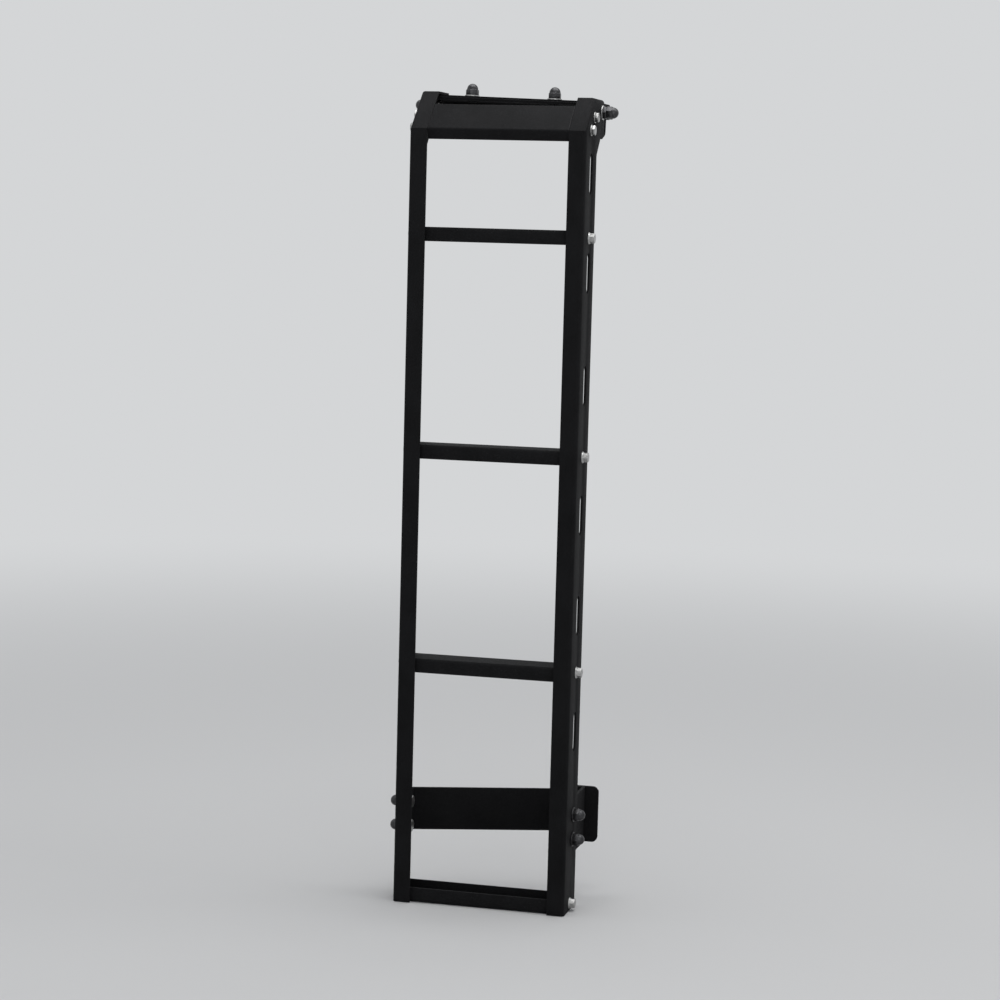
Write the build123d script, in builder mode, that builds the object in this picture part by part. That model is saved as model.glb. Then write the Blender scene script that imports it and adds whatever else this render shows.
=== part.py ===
from build123d import *
import os
from math import cos, radians, sin, tan

# A bolt-on ladder for the rear door of an off-road vehicle, folded from steel sheet.
# X runs across the ladder, +Y points at the door and +Z is up along the rails.
# The origin is on the rear face of the upper pad, which bears on the door.

os.makedirs("parts", exist_ok=True)

# Rails: a web at the side, and a flange round its front, slope and top
overall_width = 202.0
rail_sheet = 2.5
rail_bend = 4.0
flange_width = 20.0
web_depth = 56.0
rail_drop = 883.0          # fold to foot
slope_angle = 42.8
foot_corner = 6.0

# Widened head of a rail's web
lobe_depth = 89.0
lobe_below = 26.0          # foot of its deepest part under its top
waist_depth = 74.0
waist_above = 2.0          # above the fold, where the head starts to widen
waist_below = 6.0
taper_below = 25.0         # below the fold, where the plain web starts
lobe_corner = 8.0

# Place of the ladder in front of the door
door_gap = 122.0           # front plane of the rails to the door
fold_drop = 20.0           # fold line below the origin
door_roll = 1.6            # the door's top edge falls to the right

# Rungs
rung_sheet = 2.5
rung_count = 3
rung_pitch = 245.0
first_rung_drop = 109.5
rung_height = 16.0
rung_depth = 40.0
rung_setback = 5.0
rung_bend = 3.0
foot_rung_height = 16.5
tab_depth = 24.0
rung_hole = 8.5
web_line = 30.0            # depth of the rung bolts and the strap slots

# Strap slots in the rail webs, two for each rung by the way of their centres down from it
slot_marks = [(-62.5, 47.0), (-72.0, 74.0), (-57.0, 76.0)]
slot_length = 46.0
slot_width = 14.0

# Top step and the angles that carry it
step_sheet = 2.5
step_width = 43.0          # up the slope
step_bend = 3.0
step_lip = 12.0
step_lip_lean = 3.5
step_rear_lip = 14.0
step_joint = 0.4           # open joint to each rail flange
step_hole = 6.5
step_hole_marks = [18.0, 40.0]
step_hole_inset = 15.0     # below the sloped face
angle_sheet = 2.5
angle_leg = 42.0
angle_height = 20.0
angle_start = 6.0
angle_end = 46.0
angle_setback = 5.0        # behind the step's rear bend

# Upper bracket, hook and pad
bracket_sheet = 3.0
bracket_bend = 4.0
bracket_front = 52.0       # depth of its front edge
bracket_rise = 15.3        # top of its flange above the origin
bracket_drop = 22.8        # foot of its ears and back plate below the origin
bracket_corner = 8.0
ear_rear = 110.0
ear_clearance = 0.9
clamp_hole = 8.5
clamp_inset = 10.0         # in front of the rails' deepest part
clamp_rise = 5.9
hook_sheet = 2.0
hook_front = 54.0
hook_reach = 14.0          # past the pad's face
hook_drop = 17.0
hook_bolt_spacing = 96.0
hook_bolt_depth = 67.0
head_clearance = 0.6       # hook to the top flanges of the rails
pad_thickness = 3.0
pad_width = 150.0
pad_height = 26.0

# Lower bracket on the hinge
lower_rise = 71.5          # its foot above the rails' foot
lower_height = 50.0
lower_bolt_inset = 25.0    # middle of its bolts below its top edge
lower_bolt_spacing = 28.5
lower_bolt_depth = 34.0
lower_ear_front = 14.0
lower_ear_corner = 9.0
lower_left_turn = 62.0     # depth where the left ear turns across
hinge_plate_gap = 7.0      # hinge leaf between the plate and the door
hinge_plate_left = 62.0
hinge_plate_right = 114.0
hinge_plate_above = 6.0    # taller than the rest of the bracket, over and under it
hinge_plate_below = 10.0
hinge_plate_step = 74.0    # left end of the taller part
hinge_plate_corner = 7.0
hinge_hole = 8.5
hinge_hole_spacing = 34.0
hinge_hole_x = 82.0

# Derived places
outer_x = overall_width / 2
web_x = outer_x - rail_sheet               # inner face of a web
ear_x = web_x - ear_clearance              # outer face of a bracket ear
front_y = -door_gap
fold_z = -fold_drop
foot_z = fold_z - rail_drop
rung_tops = [fold_z - first_rung_drop - index * rung_pitch for index in range(rung_count)]
back_y = -pad_thickness                    # rear face of the back plate
hinge_y = -hinge_plate_gap                 # rear face of the hinge plate
clamp_depth = lobe_depth - clamp_inset
lower_foot_z = foot_z + lower_rise
lower_top_z = lower_foot_z + lower_height
lower_bolt_z = lower_top_z - lower_bolt_inset
hinge_foot_z = lower_foot_z - hinge_plate_below
hinge_top_z = lower_top_z + hinge_plate_above
hinge_mid_z = (hinge_top_z + hinge_foot_z) / 2
head_rise = bracket_rise + hook_sheet + head_clearance + rail_sheet
roll_rise = tan(radians(door_roll))        # drop of the door's edge for each millimetre of X


def y_at(depth):
    """Y of a point that lies so far behind the ladder's front plane."""
    return front_y + depth


def on_slope(along, below):
    """Depth and height of a point by its way up the slope and under its face."""
    a = radians(slope_angle)
    return (y_at(along * cos(a) + below * sin(a)), fold_z + along * sin(a) - below * cos(a))


def near(items, point):
    """The edge or corner whose middle is closest to a point."""
    return items.sort_by_distance(Vector(*point))[0]


def upright_pair(spacing):
    """Two places one above the other, half the spacing each way."""
    return GridLocations(0, spacing, 1, 2)


def rolled(plane):
    """A plane turned about the door's normal, as the upper bracket is."""
    return Plane(
        origin=plane.origin.rotate(Axis.Y, door_roll),
        x_dir=plane.x_dir.rotate(Axis.Y, door_roll),
        z_dir=plane.z_dir.rotate(Axis.Y, door_roll),
    )


def rolled_point(x, y, z):
    return Vector(x, y, z).rotate(Axis.Y, door_roll)


def save(part, name):
    part.label = name
    export_step(part, f"parts/{name}.step")


# A rail is drawn on the right. Its head ends under the door's edge, which falls to the right.
def rail(side, name):
    top_z = head_rise - side * (outer_x - flange_width / 2) * roll_rise
    top_y = y_at((top_z - fold_z) / tan(radians(slope_angle)))
    with BuildPart() as form:
        with BuildSketch(Plane.YZ.offset(outer_x - flange_width)):
            with BuildLine():
                Polyline(
                    (y_at(0), foot_z),
                    (y_at(0), fold_z),
                    (top_y, top_z),
                    (y_at(lobe_depth), top_z),
                )
                offset(amount=rail_sheet, side=Side.RIGHT)
            make_face()
        extrude(amount=flange_width)
        with BuildSketch(Plane.YZ.offset(web_x)):
            with BuildLine():
                Polyline(
                    (y_at(0), foot_z),
                    (y_at(0), fold_z),
                    (top_y, top_z),
                    (y_at(lobe_depth), top_z),
                    (y_at(lobe_depth), top_z - lobe_below),
                    (y_at(waist_depth), fold_z + waist_above),
                    (y_at(waist_depth), fold_z - waist_below),
                    (y_at(web_depth), fold_z - taper_below),
                    (y_at(web_depth), foot_z),
                    close=True,
                )
            make_face()
            fillet(near(vertices(), (y_at(web_depth), foot_z)), radius=foot_corner)
            fillet(near(vertices(), (y_at(lobe_depth), top_z - lobe_below)), radius=lobe_corner)
            fillet(near(vertices(), (y_at(waist_depth), fold_z - waist_below)), radius=lobe_corner)
            fillet(near(vertices(), (y_at(web_depth), fold_z - taper_below)), radius=lobe_corner)
        extrude(amount=rail_sheet)
        bend_middles = [
            (outer_x, y_at(0), (fold_z + foot_z) / 2),
            (outer_x, (y_at(0) + top_y) / 2, (fold_z + top_z) / 2),
            (outer_x, (top_y + y_at(lobe_depth)) / 2, top_z),
        ]
        fillet([near(form.edges(), middle) for middle in bend_middles], radius=rail_bend)
        with BuildSketch(Plane.YZ.offset(web_x)):
            for rung_z, marks in zip(rung_tops, slot_marks):
                with Locations(*[(y_at(web_line), rung_z - mark) for mark in marks]):
                    SlotOverall(slot_length, slot_width, rotation=90)
                with Locations((y_at(web_line), rung_z - rung_height / 2)):
                    Circle(rung_hole / 2)
            with Locations((y_at(web_line), foot_z + foot_rung_height / 2)):
                Circle(rung_hole / 2)
            with Locations((y_at(lower_bolt_depth), lower_bolt_z)):
                with upright_pair(lower_bolt_spacing):
                    Circle(clamp_hole / 2)
            with Locations((y_at(clamp_depth), clamp_rise - side * outer_x * roll_rise)):
                Circle(clamp_hole / 2)
            with Locations(*[on_slope(mark, step_hole_inset) for mark in step_hole_marks]):
                Circle(step_hole / 2)
        extrude(amount=rail_sheet, mode=Mode.SUBTRACT)
    if side < 0:
        with BuildPart() as mirrored:
            mirror(form.part, about=Plane.YZ)
        save(mirrored.part, name)
    else:
        save(form.part, name)


rail(-1, "left_rail")
rail(1, "right_rail")


# A channel that runs from web to web, with a tab folded at each end for its bolt
def rung_channel(top_z, height, opens_down, name):
    way = -1 if opens_down else 1
    tread_z = top_z if opens_down else top_z - height
    with BuildPart() as rung:
        with BuildSketch(Plane.YZ.offset(-web_x)):
            with BuildLine():
                FilletPolyline(
                    (y_at(rung_setback), tread_z + way * height),
                    (y_at(rung_setback), tread_z),
                    (y_at(rung_setback + rung_depth), tread_z),
                    (y_at(rung_setback + rung_depth), tread_z + way * height),
                    radius=rung_bend,
                )
                offset(amount=rung_sheet, side=Side.RIGHT if opens_down else Side.LEFT)
            make_face()
        extrude(amount=2 * web_x)
        for side in (-1, 1):
            with BuildSketch(Plane.YZ.offset(side * (web_x - rung_sheet / 2))):
                with Locations((y_at(web_line), tread_z + way * height / 2)):
                    Rectangle(tab_depth, height)
            extrude(amount=rung_sheet / 2, both=True)
        with BuildSketch(Plane.YZ.offset(-web_x)):
            with Locations((y_at(web_line), tread_z + way * height / 2)):
                Circle(rung_hole / 2)
        extrude(amount=2 * web_x, mode=Mode.SUBTRACT)
    save(rung.part, name)


for index, rung_z in enumerate(rung_tops):
    rung_channel(rung_z, rung_height, True, f"rung_{index + 1}")
rung_channel(foot_z + foot_rung_height, foot_rung_height, False, "foot_rung")

# Top step: a plate flush with the sloped flanges of the rails, with a lip front and rear
step_half = outer_x - flange_width - step_joint
with BuildPart() as top_step:
    with BuildSketch(Plane.YZ.offset(-step_half)):
        with BuildLine():
            FilletPolyline(
                (y_at(step_lip_lean), fold_z - step_lip),
                (y_at(0), fold_z),
                on_slope(step_width, 0),
                on_slope(step_width, step_rear_lip),
                radius=step_bend,
            )
            offset(amount=step_sheet, side=Side.RIGHT)
        make_face()
    extrude(amount=2 * step_half)
save(top_step.part, "top_step")


# Angles that carry the step: one leg on the web, the other under the plate and the flange
def step_angle(side, name):
    under = step_sheet
    foot = step_sheet + angle_height
    shelf_end = step_width - angle_setback
    with BuildPart() as angle:
        with BuildSketch(Plane.YZ.offset(side * web_x)):
            with BuildLine():
                Polyline(
                    on_slope(angle_start, under),
                    on_slope(angle_end, under),
                    on_slope(angle_end, foot),
                    on_slope(angle_start, foot),
                    close=True,
                )
            make_face()
        extrude(amount=-side * angle_sheet)
        with BuildSketch(Plane.YZ.offset(side * web_x)):
            with BuildLine():
                Polyline(
                    on_slope(angle_start, under),
                    on_slope(shelf_end, under),
                    on_slope(shelf_end, under + angle_sheet),
                    on_slope(angle_start, under + angle_sheet),
                    close=True,
                )
            make_face()
        extrude(amount=-side * angle_leg)
        with BuildSketch(Plane.YZ.offset(side * web_x)):
            with Locations(*[on_slope(mark, step_hole_inset) for mark in step_hole_marks]):
                Circle(step_hole / 2)
        extrude(amount=-side * angle_sheet, mode=Mode.SUBTRACT)
    save(angle.part, name)


step_angle(-1, "left_step_angle")
step_angle(1, "right_step_angle")

# Upper bracket: a flange with two ears and a back plate, rolled to the door's edge
with BuildPart() as upper_bracket:
    with BuildSketch(rolled(Plane.YZ.offset(-ear_x))):
        with BuildLine():
            FilletPolyline(
                (y_at(bracket_front), bracket_rise),
                (back_y, bracket_rise),
                (back_y, -bracket_drop),
                radius=bracket_bend,
            )
            offset(amount=bracket_sheet, side=Side.RIGHT)
        make_face()
    extrude(amount=2 * ear_x)
    back_foot = [rolled_point(side * ear_x, back_y - bracket_sheet / 2, -bracket_drop) for side in (-1, 1)]
    fillet([near(upper_bracket.edges(), corner) for corner in back_foot], radius=bracket_corner)
    for side in (-1, 1):
        with BuildSketch(rolled(Plane.YZ.offset(side * ear_x))):
            with BuildLine():
                Polyline(
                    (y_at(bracket_front), bracket_rise),
                    (y_at(ear_rear), bracket_rise),
                    (y_at(ear_rear), -bracket_drop),
                    (y_at(bracket_front), -bracket_drop),
                    close=True,
                )
            make_face()
            fillet(vertices().group_by(Axis.Y)[0], radius=bracket_corner)
        extrude(amount=-side * bracket_sheet)
    with BuildSketch(rolled(Plane.YZ.offset(-ear_x))):
        with Locations((y_at(clamp_depth), clamp_rise)):
            Circle(clamp_hole / 2)
    extrude(amount=2 * ear_x, mode=Mode.SUBTRACT)
    with BuildSketch(rolled(Plane.XY.offset(bracket_rise))):
        with Locations((0, y_at(hook_bolt_depth))):
            with GridLocations(hook_bolt_spacing, 0, 2, 1):
                Circle(clamp_hole / 2)
    extrude(amount=-bracket_sheet, mode=Mode.SUBTRACT)
save(upper_bracket.part, "upper_bracket")

# Hook: a thin plate on the bracket's flange that reaches over the door's top edge
with BuildPart() as door_hook:
    with BuildSketch(rolled(Plane.YZ.offset(-ear_x))):
        with BuildLine():
            FilletPolyline(
                (y_at(hook_front), bracket_rise + hook_sheet),
                (hook_reach, bracket_rise + hook_sheet),
                (hook_reach, bracket_rise + hook_sheet - hook_drop),
                radius=bracket_bend,
            )
            offset(amount=hook_sheet, side=Side.RIGHT)
        make_face()
    extrude(amount=2 * ear_x)
    with BuildSketch(rolled(Plane.XY.offset(bracket_rise))):
        with Locations((0, y_at(hook_bolt_depth))):
            with GridLocations(hook_bolt_spacing, 0, 2, 1):
                Circle(clamp_hole / 2)
    extrude(amount=hook_sheet, mode=Mode.SUBTRACT)
save(door_hook.part, "door_hook")

# Rubber pad between the back plate and the door
with BuildPart() as upper_pad:
    with BuildSketch(rolled(Plane.XZ)):
        RectangleRounded(pad_width, pad_height, pad_thickness)
    extrude(amount=pad_thickness)
save(upper_pad.part, "upper_pad")

# Lower bracket: an ear on the left web, a slanting plate behind the bay and a deeper plate on the hinge
with BuildPart() as lower_bracket:
    with BuildSketch(Plane.XY.offset(hinge_foot_z)):
        with BuildLine():
            FilletPolyline(
                (-web_x, y_at(lower_ear_front)),
                (-web_x, y_at(lower_left_turn)),
                (hinge_plate_left, hinge_y),
                (hinge_plate_right, hinge_y),
                radius=bracket_bend,
            )
            offset(amount=bracket_sheet, side=Side.RIGHT)
        make_face()
    extrude(amount=hinge_top_z - hinge_foot_z)
    for end_z, edge_z in ((hinge_foot_z, lower_foot_z), (hinge_top_z, lower_top_z)):
        with BuildSketch(Plane.XZ):
            with BuildLine():
                Polyline(
                    (-outer_x, end_z),
                    (-outer_x, edge_z),
                    (hinge_plate_step, edge_z),
                    (hinge_plate_step, end_z),
                    close=True,
                )
            make_face()
            fillet(near(vertices(), (hinge_plate_step, edge_z)), radius=bracket_bend)
        extrude(amount=door_gap, mode=Mode.SUBTRACT)
    with BuildSketch(Plane.YZ.offset(-web_x)):
        with Locations((y_at(lower_bolt_depth), lower_bolt_z)):
            with upright_pair(lower_bolt_spacing):
                Circle(clamp_hole / 2)
    extrude(amount=bracket_sheet, mode=Mode.SUBTRACT)
    with BuildSketch(Plane.XZ.offset(-hinge_y)):
        with Locations((hinge_hole_x, hinge_mid_z)):
            with upright_pair(hinge_hole_spacing):
                Circle(hinge_hole / 2)
    extrude(amount=bracket_sheet, mode=Mode.SUBTRACT)
    plate_corners = [(hinge_plate_right, hinge_y - bracket_sheet / 2, z) for z in (hinge_top_z, hinge_foot_z)]
    fillet([near(lower_bracket.edges(), corner) for corner in plate_corners], radius=hinge_plate_corner)
    ear_corners = [(-web_x + bracket_sheet / 2, y_at(lower_ear_front), z) for z in (lower_top_z, lower_foot_z)]
    fillet([near(lower_bracket.edges(), corner) for corner in ear_corners], radius=lower_ear_corner)
save(lower_bracket.part, "lower_bracket")

# Right ear: an angle from the right web back to the hinge plate
with BuildPart() as hinge_ear:
    with BuildSketch(Plane.XY.offset(hinge_foot_z)):
        with BuildLine():
            FilletPolyline(
                (web_x, y_at(lower_ear_front)),
                (web_x, hinge_y - bracket_sheet),
                (hinge_plate_left + bracket_bend, hinge_y - bracket_sheet),
                radius=bracket_bend,
            )
            offset(amount=bracket_sheet, side=Side.LEFT)
        make_face()
    extrude(amount=hinge_top_z - hinge_foot_z)
    with BuildSketch(Plane.YZ.offset(web_x)):
        with Locations((y_at(lower_bolt_depth), lower_bolt_z)):
            with upright_pair(lower_bolt_spacing):
                Circle(clamp_hole / 2)
    extrude(amount=-bracket_sheet, mode=Mode.SUBTRACT)
    with BuildSketch(Plane.XZ.offset(-hinge_y + bracket_sheet)):
        with Locations((hinge_hole_x, hinge_mid_z)):
            with upright_pair(hinge_hole_spacing):
                Circle(hinge_hole / 2)
    extrude(amount=bracket_sheet, mode=Mode.SUBTRACT)
    ear_corners = [(web_x - bracket_sheet / 2, y_at(lower_ear_front), z) for z in (hinge_top_z, hinge_foot_z)]
    fillet([near(hinge_ear.edges(), corner) for corner in ear_corners], radius=lower_ear_corner)
save(hinge_ear.part, "hinge_ear")
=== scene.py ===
import math
import bpy
from mathutils import Matrix, Vector


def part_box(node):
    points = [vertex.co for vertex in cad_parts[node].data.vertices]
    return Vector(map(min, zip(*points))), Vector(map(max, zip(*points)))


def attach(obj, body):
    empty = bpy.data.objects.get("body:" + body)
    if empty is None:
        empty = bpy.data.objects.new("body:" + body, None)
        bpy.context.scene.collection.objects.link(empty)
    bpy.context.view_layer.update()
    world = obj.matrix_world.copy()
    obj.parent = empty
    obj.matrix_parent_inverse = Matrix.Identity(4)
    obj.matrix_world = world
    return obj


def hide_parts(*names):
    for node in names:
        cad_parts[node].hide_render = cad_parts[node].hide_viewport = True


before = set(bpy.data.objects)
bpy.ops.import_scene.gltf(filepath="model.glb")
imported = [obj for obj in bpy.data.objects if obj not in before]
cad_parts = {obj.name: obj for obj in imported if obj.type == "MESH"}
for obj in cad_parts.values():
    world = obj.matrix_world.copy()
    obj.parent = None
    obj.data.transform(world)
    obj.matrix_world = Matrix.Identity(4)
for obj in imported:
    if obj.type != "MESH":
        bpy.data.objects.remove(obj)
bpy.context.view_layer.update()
print("frame loaded")


# view

cameraView = {
    "place": (0.7120, -2.9193, -0.1247),
    "turn": (83.91, -1.51, 14.17),  # degrees
    "lens": 93,
}
bpy.ops.object.camera_add(
    location=cameraView["place"],
    rotation=[math.radians(angle) for angle in cameraView["turn"]],
)
bpy.context.scene.camera = bpy.context.object
bpy.context.object.data.lens = cameraView["lens"]
bpy.context.scene.view_settings.view_transform = "Standard"


# materials: each reads its noise at the piece's own coordinates

def newMaterial(name):
    material = bpy.data.materials.new(name)
    material.use_nodes = True
    tree = material.node_tree
    return material, tree.nodes, tree.links, tree.nodes["Principled BSDF"]


def noiseNode(nodes, links, scale, detail, roughness=0.5):
    place = nodes.new("ShaderNodeTexCoord")
    noise = nodes.new("ShaderNodeTexNoise")
    noise.inputs["Scale"].default_value = scale
    noise.inputs["Detail"].default_value = detail
    noise.inputs["Roughness"].default_value = roughness
    links.new(place.outputs["Object"], noise.inputs["Vector"])
    return noise


def toneNode(nodes, links, noise, stops, tones):
    ramp = nodes.new("ShaderNodeValToRGB")
    for stop, position, tone in zip(ramp.color_ramp.elements, stops, tones):
        stop.position = position
        stop.color = (*tone, 1)
    links.new(noise.outputs["Fac"], ramp.inputs["Fac"])
    return ramp


def rangeNode(nodes, links, value, fromRange, toRange):
    span = nodes.new("ShaderNodeMapRange")
    span.inputs["From Min"].default_value, span.inputs["From Max"].default_value = fromRange
    span.inputs["To Min"].default_value, span.inputs["To Max"].default_value = toRange
    links.new(value, span.inputs["Value"])
    return span


def linkGrain(nodes, links, shader, noise, grain, roughness):
    # the same noise sets the gloss and the relief
    gloss = rangeNode(nodes, links, noise.outputs["Fac"], grain["glossRange"], roughness)
    links.new(gloss.outputs["Result"], shader.inputs["Roughness"])
    bump = nodes.new("ShaderNodeBump")
    bump.inputs["Strength"].default_value = grain["bumpStrength"]
    bump.inputs["Distance"].default_value = grain["bumpDepth"]
    links.new(noise.outputs["Fac"], bump.inputs["Height"])
    links.new(bump.outputs["Normal"], shader.inputs["Normal"])


powderCoat = {
    "patches": {"scale": 26, "detail": 4},  # slow changes of tone
    "dark": (0.0072, 0.0072, 0.0077),
    "light": (0.0112, 0.0112, 0.0120),
    "toneStops": (0.3, 0.7),
    "flecks": {"scale": 1500, "detail": 2},
    "fleck": (0.034, 0.034, 0.036),
    "fleckRange": (0.60, 0.74),  # noise where a fleck begins and where it is full
    "grain": {"scale": 900, "detail": 3, "roughness": 0.6},  # fine texture of the coat
    "glossRange": (0.35, 0.65),
    "bumpStrength": 0.8,
    "bumpDepth": 0.00018,
}
coatFace = {"lift": 1, "roughness": (0.62, 0.86), "specular": 0.08}
edgeCoatHighlight = {"lift": 1.9, "roughness": (0.48, 0.62), "specular": 0.16}  # painted highlight: the broken edges get the coat almost twice as light, and a glossier finish


def makePowderCoat(name, finish):
    material, nodes, links, shader = newMaterial(name)
    # a lift above 1 paints the whole coat lighter, which is a painted highlight
    dark, light, fleck = (
        tuple(level * finish["lift"] for level in powderCoat[key]) for key in ("dark", "light", "fleck")
    )
    patches = noiseNode(nodes, links, **powderCoat["patches"])
    tone = toneNode(nodes, links, patches, powderCoat["toneStops"], (dark, light))
    flecks = noiseNode(nodes, links, **powderCoat["flecks"])
    share = rangeNode(nodes, links, flecks.outputs["Fac"], powderCoat["fleckRange"], (0, 1))
    mixed = nodes.new("ShaderNodeMix")
    mixed.data_type = "RGBA"
    links.new(share.outputs["Result"], mixed.inputs["Factor"])
    links.new(tone.outputs["Color"], mixed.inputs["A"])
    mixed.inputs["B"].default_value = (*fleck, 1)
    links.new(mixed.outputs["Result"], shader.inputs["Base Color"])
    grain = noiseNode(nodes, links, **powderCoat["grain"])
    linkGrain(nodes, links, shader, grain, powderCoat, finish["roughness"])
    shader.inputs["Specular IOR Level"].default_value = finish["specular"]
    return material


metalGrain = {
    "noise": {"scale": 420, "detail": 4},
    "toneStops": (0.35, 0.65),
    "glossRange": (0.3, 0.7),
    "bumpStrength": 0.2,
    "bumpDepth": 0.00003,
}
steel = {"dull": (0.35, 0.35, 0.345), "bright": (0.47, 0.47, 0.465), "roughness": (0.28, 0.44)}
darkZinc = {"dull": (0.046, 0.046, 0.048), "bright": (0.078, 0.078, 0.081), "roughness": (0.32, 0.45)}


def makeMetal(name, finish):
    material, nodes, links, shader = newMaterial(name)
    noise = noiseNode(nodes, links, **metalGrain["noise"])
    tone = toneNode(nodes, links, noise, metalGrain["toneStops"], (finish["dull"], finish["bright"]))
    links.new(tone.outputs["Color"], shader.inputs["Base Color"])
    linkGrain(nodes, links, shader, noise, metalGrain, finish["roughness"])
    shader.inputs["Metallic"].default_value = 1
    return material


rubber = {
    "noise": {"scale": 300, "detail": 5},
    "dark": (0.010, 0.010, 0.010),
    "light": (0.020, 0.020, 0.019),
    "toneStops": (0.35, 0.7),
    "glossRange": (0.3, 0.7),
    "roughness": (0.72, 0.9),
    "specular": 0.3,
    "bumpStrength": 0.4,
    "bumpDepth": 0.0001,
}


def makeRubber(name):
    material, nodes, links, shader = newMaterial(name)
    noise = noiseNode(nodes, links, **rubber["noise"])
    tone = toneNode(nodes, links, noise, rubber["toneStops"], (rubber["dark"], rubber["light"]))
    links.new(tone.outputs["Color"], shader.inputs["Base Color"])
    linkGrain(nodes, links, shader, noise, rubber, rubber["roughness"])
    shader.inputs["Specular IOR Level"].default_value = rubber["specular"]
    return material


coatMaterial = makePowderCoat("blackPowderCoat", coatFace)
# the edge coat is a painted highlight along every broken edge of the sheets
edgeHighlightMaterial = makePowderCoat("powderCoatPaintedHighlight", edgeCoatHighlight)
steelMaterial = makeMetal("brightSteel", steel)
zincMaterial = makeMetal("darkZinc", darkZinc)
rubberMaterial = makeRubber("padRubber")
print("materials made")


# selecting and finishing

def deselectAll():
    if bpy.context.mode != "OBJECT":
        bpy.ops.object.mode_set(mode="OBJECT")
    bpy.ops.object.select_all(action="DESELECT")


def makeActive(piece):
    deselectAll()
    piece.select_set(True)
    bpy.context.view_layer.objects.active = piece


def finishMesh(piece, width, finish, edgeSlot=-1):
    # doubles and flat joints go, then every sharp edge is broken; edgeSlot is the broken edges' material
    makeActive(piece)
    bpy.ops.object.mode_set(mode="EDIT")
    bpy.ops.mesh.select_all(action="SELECT")
    bpy.ops.mesh.remove_doubles(threshold=finish["merge"])
    bpy.ops.mesh.dissolve_limited(angle_limit=math.radians(finish["flat"]))
    bpy.ops.object.mode_set(mode="OBJECT")
    bpy.ops.object.transform_apply(location=True, rotation=True, scale=True)
    bpy.ops.object.modifier_add(type="BEVEL")
    bevel = piece.modifiers[-1]
    bevel.width = width
    bevel.segments = finish["segments"]
    bevel.angle_limit = math.radians(finish["sharp"])
    bevel.material = edgeSlot
    bpy.ops.object.modifier_apply(modifier=bevel.name)
    bpy.ops.object.shade_smooth_by_angle(angle=math.radians(finish["smooth"]))


# folded sheets and the pad: a copy of each CAD node with its cut edges broken

sheetFinish = {"merge": 0.000002, "flat": 0.6, "segments": 2, "sharp": 35, "smooth": 30}  # metres, degrees
edgeWidths = {"sheet": 0.00035, "pad": 0.0006}


def finishedCopy(nodeName, width, materials):
    piece = bpy.data.objects.new(nodeName + "_finished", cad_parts[nodeName].data.copy())
    bpy.context.collection.objects.link(piece)
    piece.data.materials.clear()
    for material in materials:
        piece.data.materials.append(material)
    finishMesh(piece, width, sheetFinish, len(materials) - 1)
    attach(piece, "root")
    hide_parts(nodeName)


for nodeName in sorted(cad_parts):
    if nodeName == "upper_pad":
        finishedCopy(nodeName, edgeWidths["pad"], [rubberMaterial])
    else:
        # the sheets' broken edges take the lighter edge coat, a painted highlight
        finishedCopy(nodeName, edgeWidths["sheet"], [coatMaterial, edgeHighlightMaterial])
print("sheets finished")


# fasteners, each modelled once pointing up from its seat at the origin

fastenerFinish = {"merge": 0.00002, "flat": 1, "segments": 2, "sharp": 28, "smooth": 32}  # metres, degrees
drillReach = 3  # length of a drill, in depths of its hole


def addRod(sides, radius, depth, middle=0.0):
    deselectAll()
    bpy.ops.mesh.primitive_cylinder_add(vertices=sides, radius=radius, depth=depth, location=(0, 0, middle))
    return bpy.context.object


def addCone(sides, foot, top, depth):
    deselectAll()
    bpy.ops.mesh.primitive_cone_add(
        vertices=sides, radius1=foot, radius2=top, depth=depth, location=(0, 0, depth / 2)
    )
    return bpy.context.object


def cutWith(piece, tool, how):
    makeActive(piece)
    bpy.ops.object.modifier_add(type="BOOLEAN")
    cut = piece.modifiers[-1]
    cut.object = tool
    cut.operation = how
    cut.solver = "EXACT"
    bpy.ops.object.modifier_apply(modifier=cut.name)
    makeActive(tool)
    bpy.ops.object.delete()
    makeActive(piece)


hexShape = {"chamferShare": 0.95, "chamferAngle": 30, "coneSides": 48}  # share of the flats, degrees


def hexPrism(name, flats, height):
    # a hexagon whose outer corners a cone cuts back
    prism = addRod(6, flats / math.sqrt(3), height, height / 2)
    prism.name = name
    tip = flats / 2 * hexShape["chamferShare"]
    foot = tip + height / math.tan(math.radians(hexShape["chamferAngle"]))
    cutWith(prism, addCone(hexShape["coneSides"], foot, tip, height), "INTERSECT")
    return prism


eightBolt = {"flats": 0.013, "head": 0.0053, "shank": 0.008, "grip": 0.0052}
sixBolt = {"flats": 0.010, "head": 0.0040, "shank": 0.006, "grip": 0.0052}
rungBolt = {**sixBolt, "head": 0.0066, "flange": (0.0067, 0.0054, 0.0017)}  # flange: foot, top, depth
boltShape = {"shankSides": 32, "flangeSides": 40, "sunk": 0.001, "soft": 0.00022}  # sunk: shank in the head


def makeBolt(name, size):
    head = hexPrism(name, size["flats"], size["head"])
    if "flange" in size:
        cutWith(head, addCone(boltShape["flangeSides"], *size["flange"]), "UNION")
    length, middle = size["grip"] + boltShape["sunk"], (boltShape["sunk"] - size["grip"]) / 2
    cutWith(head, addRod(boltShape["shankSides"], size["shank"] / 2, length, middle), "UNION")
    finishMesh(head, boltShape["soft"], fastenerFinish)
    return head


eightCap = {"flats": 0.013, "hex": 0.0063, "dome": 0.0063, "height": 0.0128}
capShape = {"segments": 32, "rings": 16, "skirt": 0.8, "soft": 0.00025}  # skirt: share of the hexagon


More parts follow.
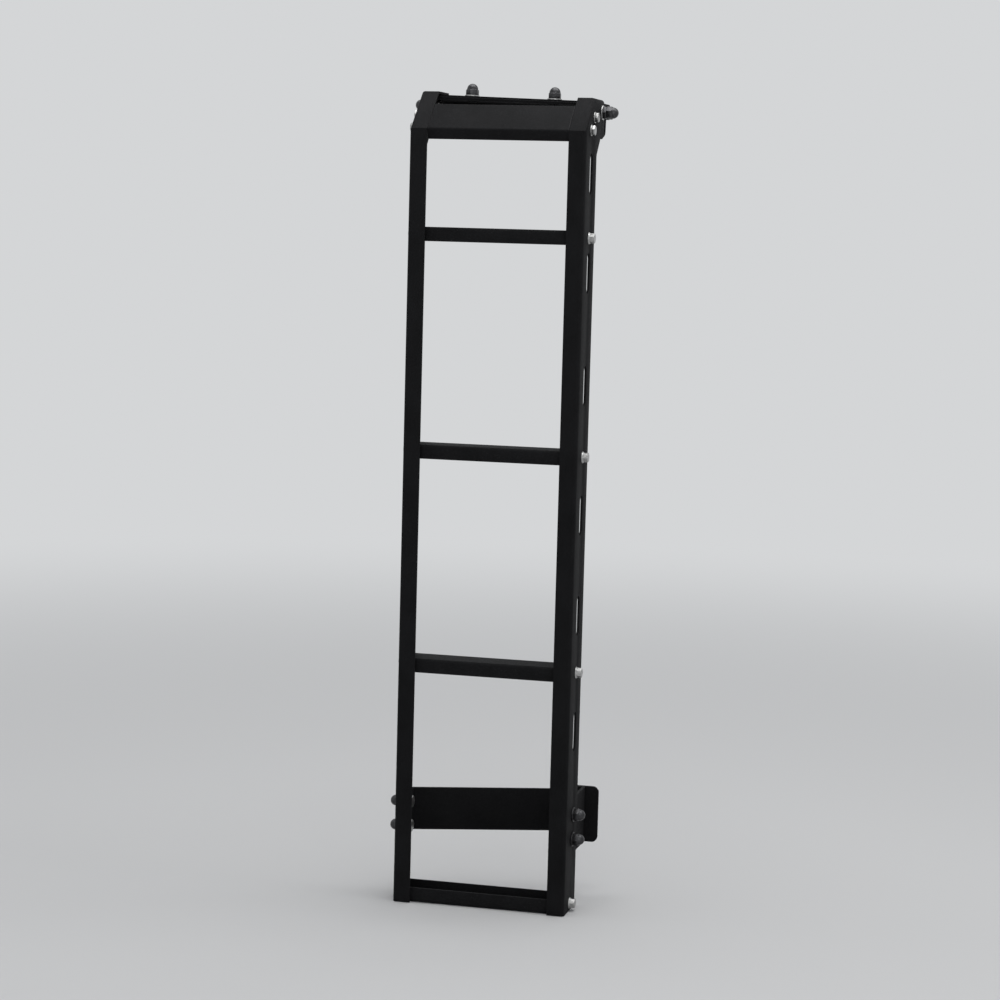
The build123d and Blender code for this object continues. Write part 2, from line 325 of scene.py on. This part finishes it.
def makeCapNut(name, size):
    # half a ball on the hexagon, drawn down into it
    cap = hexPrism(name, size["flats"], size["hex"])
    middle = size["height"] - size["dome"]
    deselectAll()
    bpy.ops.mesh.primitive_uv_sphere_add(
        segments=capShape["segments"], ring_count=capShape["rings"],
        radius=size["dome"], location=(0, 0, middle),
    )
    dome = bpy.context.object
    drop = size["hex"] * capShape["skirt"] - middle
    bpy.ops.object.mode_set(mode="EDIT")
    bpy.ops.mesh.select_all(action="SELECT")
    bpy.ops.mesh.bisect(plane_co=(0, 0, middle), plane_no=(0, 0, 1), clear_inner=True)
    bpy.ops.mesh.extrude_region_move(TRANSFORM_OT_translate={"value": (0, 0, drop)})
    bpy.ops.mesh.edge_face_add()
    bpy.ops.object.mode_set(mode="OBJECT")
    cutWith(cap, dome, "UNION")
    finishMesh(cap, capShape["soft"], fastenerFinish)
    return cap


eightNut = {"flats": 0.013, "height": 0.0045, "hole": 0.0072}
sixNut = {"flats": 0.010, "height": 0.0050, "hole": 0.0050}
nutShape = {"holeSides": 32, "soft": 0.0002}


def makeNut(name, size):
    nut = hexPrism(name, size["flats"], size["height"])
    drill = addRod(nutShape["holeSides"], size["hole"] / 2, size["height"] * drillReach)
    cutWith(nut, drill, "DIFFERENCE")
    finishMesh(nut, nutShape["soft"], fastenerFinish)
    return nut


eightWasher = {"outer": 0.0165, "hole": 0.0084, "height": 0.0016, "soft": 0.00025, "sides": 48}
sixWasher = {"outer": 0.0125, "hole": 0.0064, "height": 0.0012, "soft": 0.00025, "sides": 48}
springWasher = {
    "outer": 0.0142, "hole": 0.0081, "height": 0.0018, "soft": 0.0002, "sides": 48,
    "slit": 0.0008,  # width of the cut through it
}
slitShape = {"lean": 25, "reach": 4}  # degrees, and heights of the washer
rungCollar = {"outer": 0.0108, "hole": 0.0052, "height": 0.0055, "soft": 0.0003, "sides": 40}


def makeRing(name, size):
    ring = addRod(size["sides"], size["outer"] / 2, size["height"], size["height"] / 2)
    ring.name = name
    drill = addRod(size["sides"], size["hole"] / 2, size["height"] * drillReach, size["height"] / 2)
    cutWith(ring, drill, "DIFFERENCE")
    if "slit" in size:
        # a spring washer is cut through on a slant
        deselectAll()
        bpy.ops.mesh.primitive_cube_add(size=1, location=(size["outer"] / 2, 0, size["height"] / 2))
        slit = bpy.context.object
        slit.scale = (size["outer"], size["slit"], size["height"] * slitShape["reach"])
        slit.rotation_euler.x = math.radians(slitShape["lean"])
        cutWith(ring, slit, "DIFFERENCE")
    finishMesh(ring, size["soft"], fastenerFinish)
    return ring


pressedStud = {"outer": 0.0130, "rim": 0.0008, "height": 0.0014, "soft": 0.0003, "sides": 40}  # nearly flush


def makeStudHead(name, size):
    radius = size["outer"] / 2
    head = addCone(size["sides"], radius, radius - size["rim"], size["height"])
    head.name = name
    finishMesh(head, size["soft"], fastenerFinish)
    return head


masters = {
    "bolt": makeBolt("hexBolt", eightBolt),
    "capNut": makeCapNut("capNut", eightCap),
    "thinNut": makeNut("thinNut", eightNut),
    "washer": makeRing("washer", eightWasher),
    "spring": makeRing("springWasher", springWasher),
    "stud": makeStudHead("studHead", pressedStud),
    "smallBolt": makeBolt("smallBolt", sixBolt),
    "smallNut": makeNut("smallNut", sixNut),
    "smallWasher": makeRing("smallWasher", sixWasher),
    "rungBolt": makeBolt("rungBolt", rungBolt),
    "collar": makeRing("pressedCollar", rungCollar),
}
heights = {  # how far each lifts what sits on it
    "washer": eightWasher["height"],
    "spring": springWasher["height"],
    "thinNut": eightNut["height"],
    "smallWasher": sixWasher["height"],
}
print("fasteners modelled")


# places of the fasteners, in the holes of the sheets

def placeCopy(kind, name, material, seat, direction, spin=0.0):
    # the master's up turns to the direction, and its origin goes to the seat
    turn = Vector(direction).normalized().to_track_quat("Z", "Y").to_matrix().to_4x4()
    piece = bpy.data.objects.new(name, masters[kind].data.copy())
    bpy.context.collection.objects.link(piece)
    piece.data.transform(Matrix.Translation(seat) @ turn @ Matrix.Rotation(math.radians(spin), 4, "Z"))
    piece.data.materials.clear()
    piece.data.materials.append(material)
    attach(piece, "root")


def boltSet(name, seat, direction, stack, stackMaterial, top, topMaterial, spin):
    # the stack's pieces lie on each other from the seat up, turned twice as far, and the top piece ends them
    away = Vector(direction).normalized()
    seat = Vector(seat)
    for kind in stack:
        material = topMaterial if kind == "thinNut" else stackMaterial
        placeCopy(kind, f"{name}_{kind}", material, seat, away, spin * 2)
        seat = seat + away * heights[kind]
    placeCopy(top, name, topMaterial, seat, away, spin)


def spinOf(spins, index):
    # spins hold the first turn in degrees and how much each next one adds
    first, more = spins
    return first + more * index


leftLow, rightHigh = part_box("left_rail")[0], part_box("right_rail")[1]
outerX, frontY, footZ = rightHigh.x, leftLow.y, leftLow.z
railSheet = 0.0025
sideNames = {-1: "left", 1: "right"}

# rung bolts, with pressed-in collars on the inside of the tabs
rungs = {
    "middles": (-0.1375, -0.3825, -0.6275, -0.89475),  # the foot rung last
    "depth": 0.030,  # bolts behind the front
    "tabSheet": 0.0025,
    "boltSpins": (11, 23),
}
for index, middle in enumerate(rungs["middles"]):
    for side, sideName in sideNames.items():
        seat = (side * outerX, frontY + rungs["depth"], middle)
        boltName, collarName = f"{sideName}_rung_bolt_{index + 1}", f"{sideName}_rung_collar_{index + 1}"
        placeCopy("rungBolt", boltName, steelMaterial, seat, (side, 0, 0), spinOf(rungs["boltSpins"], index))
        inside = (side * (outerX - railSheet - rungs["tabSheet"]), seat[1], seat[2])
        placeCopy("collar", collarName, steelMaterial, inside, (-side, 0, 0))

# step bolts, through the webs and the angles under the top step
step = {
    "marks": (0.018, 0.040),  # up the slope
    "below": 0.015,  # under the sloped face
    "slope": 42.8,
    "foldZ": -0.020,
    "angleSheet": 0.0025,
    "boltSpins": (17, 19),
    "nutSpins": (8, 31),
}
slopeAngle = math.radians(step["slope"])
for index, mark in enumerate(step["marks"]):
    boltY = frontY + mark * math.cos(slopeAngle) + step["below"] * math.sin(slopeAngle)
    boltZ = step["foldZ"] + mark * math.sin(slopeAngle) - step["below"] * math.cos(slopeAngle)
    for side, sideName in sideNames.items():
        boltSet(
            f"{sideName}_step_bolt_{index + 1}", (side * outerX, boltY, boltZ), (side, 0, 0),
            ("smallWasher",), steelMaterial, "smallBolt", steelMaterial, spinOf(step["boltSpins"], index),
        )
        inside = (side * (outerX - railSheet - step["angleSheet"]), boltY, boltZ)
        boltSet(
            f"{sideName}_step_nut_{index + 1}", inside, (-side, 0, 0),
            ("smallWasher",), steelMaterial, "smallNut", steelMaterial, spinOf(step["nutSpins"], index),
        )

# upper bracket, which is rolled a little about Y: clamp bolts at its sides and hook bolts on its top
upper = {
    "roll": 1.6,
    "clampDepth": 0.079,
    "clampRise": 0.0059,
    "clampStacks": {"left": ("washer", "spring"), "right": ("washer", "thinNut")},
    "clampSpins": (0, 14),
    "earInside": 0.0946,
    "boltSpin": 5,
    "hookX": 0.048,
    "hookDepth": 0.067,
    "hookTop": 0.0173,
    "flangeUnder": 0.0123,
    "hookSpins": (30, 4),
}
rollTurn = Matrix.Rotation(math.radians(upper["roll"]), 3, "Y")
clampY, hookY = frontY + upper["clampDepth"], frontY + upper["hookDepth"]
for side, sideName in sideNames.items():
    clampZ = upper["clampRise"] - side * outerX * math.tan(math.radians(upper["roll"]))
    boltSet(
        f"{sideName}_clamp_nut", (side * outerX, clampY, clampZ), (side, 0, 0),
        upper["clampStacks"][sideName], steelMaterial, "capNut", zincMaterial,
        spinOf(upper["clampSpins"], side),
    )
    inside = rollTurn @ Vector((side * upper["earInside"], clampY, upper["clampRise"]))
    boltSet(
        f"{sideName}_clamp_bolt", inside, rollTurn @ Vector((-side, 0, 0)),
        ("washer",), steelMaterial, "bolt", steelMaterial, upper["boltSpin"],
    )
    top = rollTurn @ Vector((side * upper["hookX"], hookY, upper["hookTop"]))
    boltSet(
        f"{sideName}_hook_nut", top, rollTurn @ Vector((0, 0, 1)),
        ("washer",), steelMaterial, "capNut", zincMaterial, spinOf(upper["hookSpins"], side),
    )
    under = rollTurn @ Vector((side * upper["hookX"], hookY, upper["flangeUnder"]))
    placeCopy("stud", f"{sideName}_hook_stud", coatMaterial, under, rollTurn @ Vector((0, 0, -1)))

# lower bracket and hinge ear, two bolts a side
lower = {
    "middle": -0.8065,
    "spacing": 0.0285,
    "depth": 0.034,
    "earInside": 0.0955,
    "nutSpins": (7, 21),
    "boltSpins": (16, -9),
}
lowerY = frontY + lower["depth"]
for index, lift in enumerate((0.5, -0.5)):
    boltZ = lower["middle"] + lift * lower["spacing"]
    for side, sideName in sideNames.items():
        boltSet(
            f"{sideName}_lower_nut_{index + 1}", (side * outerX, lowerY, boltZ), (side, 0, 0),
            ("washer",), zincMaterial, "capNut", zincMaterial, spinOf(lower["nutSpins"], index),
        )
        boltSet(
            f"{sideName}_lower_bolt_{index + 1}", (side * lower["earInside"], lowerY, boltZ), (-side, 0, 0),
            ("washer",), steelMaterial, "bolt", steelMaterial, spinOf(lower["boltSpins"], index),
        )

for master in masters.values():
    makeActive(master)
    bpy.ops.object.delete()
print("fasteners placed")


# studio: a pale floor that fades into the backdrop

studio = {
    "background": (0.66, 0.67, 0.68),
    "ambient": (0.26, 0.27, 0.285),
    "floorColour": (0.60, 0.60, 0.60),
    "floorRoughness": 0.9,
    "floorSize": 14.0,
    "floorSides": 96,
    "floorGap": 0.0005,  # under the ladder's foot
    "fadeStart": 0.25,  # metres from the ladder, where the floor turns into the backdrop
    "fadeEnd": 3.4,
}
deselectAll()
bpy.ops.mesh.primitive_circle_add(
    vertices=studio["floorSides"], radius=studio["floorSize"] / 2, fill_type="NGON",
    location=(0, 0, footZ - studio["floorGap"]),
)
floor = bpy.context.object
floor.name = "studioFloor"
bpy.ops.object.transform_apply(location=True, rotation=True, scale=True)
floorMaterial, nodes, links, shader = newMaterial("studioFloor")
shader.inputs["Base Color"].default_value = (*studio["floorColour"], 1)
shader.inputs["Roughness"].default_value = studio["floorRoughness"]
place = nodes.new("ShaderNodeTexCoord")
flat = nodes.new("ShaderNodeVectorMath")  # drops the height, so that the fade is round
flat.operation = "MULTIPLY"
flat.inputs[1].default_value = (1, 1, 0)
links.new(place.outputs["Object"], flat.inputs[0])
reach = nodes.new("ShaderNodeVectorMath")
reach.operation = "LENGTH"
links.new(flat.outputs["Vector"], reach.inputs[0])
fade = rangeNode(nodes, links, reach.outputs["Value"], (studio["fadeStart"], studio["fadeEnd"]), (0, 1))
fade.interpolation_type = "SMOOTHSTEP"
glow = nodes.new("ShaderNodeEmission")
glow.inputs["Color"].default_value = (*studio["background"], 1)
blend = nodes.new("ShaderNodeMixShader")
links.new(fade.outputs["Result"], blend.inputs["Fac"])
links.new(shader.outputs["BSDF"], blend.inputs[1])
links.new(glow.outputs["Emission"], blend.inputs[2])
links.new(blend.outputs["Shader"], nodes["Material Output"].inputs["Surface"])
floor.data.materials.append(floorMaterial)

world = bpy.data.worlds.new("studioWorld")
bpy.context.scene.world = world
world.use_nodes = True
nodes, links = world.node_tree.nodes, world.node_tree.links
ambient = nodes["Background"]
ambient.inputs["Color"].default_value = (*studio["ambient"], 1)
seen = nodes.new("ShaderNodeBackground")
seen.inputs["Color"].default_value = (*studio["background"], 1)
path = nodes.new("ShaderNodeLightPath")
mix = nodes.new("ShaderNodeMixShader")
shown = nodes.new("ShaderNodeMath")  # the backdrop also shows in metal
shown.operation = "MAXIMUM"
links.new(path.outputs["Is Camera Ray"], shown.inputs[0])
links.new(path.outputs["Is Glossy Ray"], shown.inputs[1])
links.new(shown.outputs["Value"], mix.inputs["Fac"])
links.new(ambient.outputs["Background"], mix.inputs[1])
links.new(seen.outputs["Background"], mix.inputs[2])
links.new(mix.outputs["Shader"], nodes["World Output"].inputs["Surface"])

lamps = {
    "overheadLamp": {"place": (0.1, -0.1, 2.1), "aim": (0, 0, -0.35), "size": 2.4, "power": 61},
    "rightLamp": {"place": (1.4, 0.2, 1.6), "aim": (0, 0, 0.1), "size": 1.1, "power": 7.5},
    "frontFill": {"place": (0.9, -2.6, 0.3), "aim": (0, 0, -0.5), "size": 1.6, "power": 7.5},
}
for name, lamp in lamps.items():
    turn = (Vector(lamp["aim"]) - Vector(lamp["place"])).to_track_quat("-Z", "Y").to_euler()
    bpy.ops.object.light_add(type="AREA", location=lamp["place"], rotation=turn)
    light = bpy.context.object
    light.name = name
    light.data.size = lamp["size"]
    light.data.energy = lamp["power"]
print("studio lit")
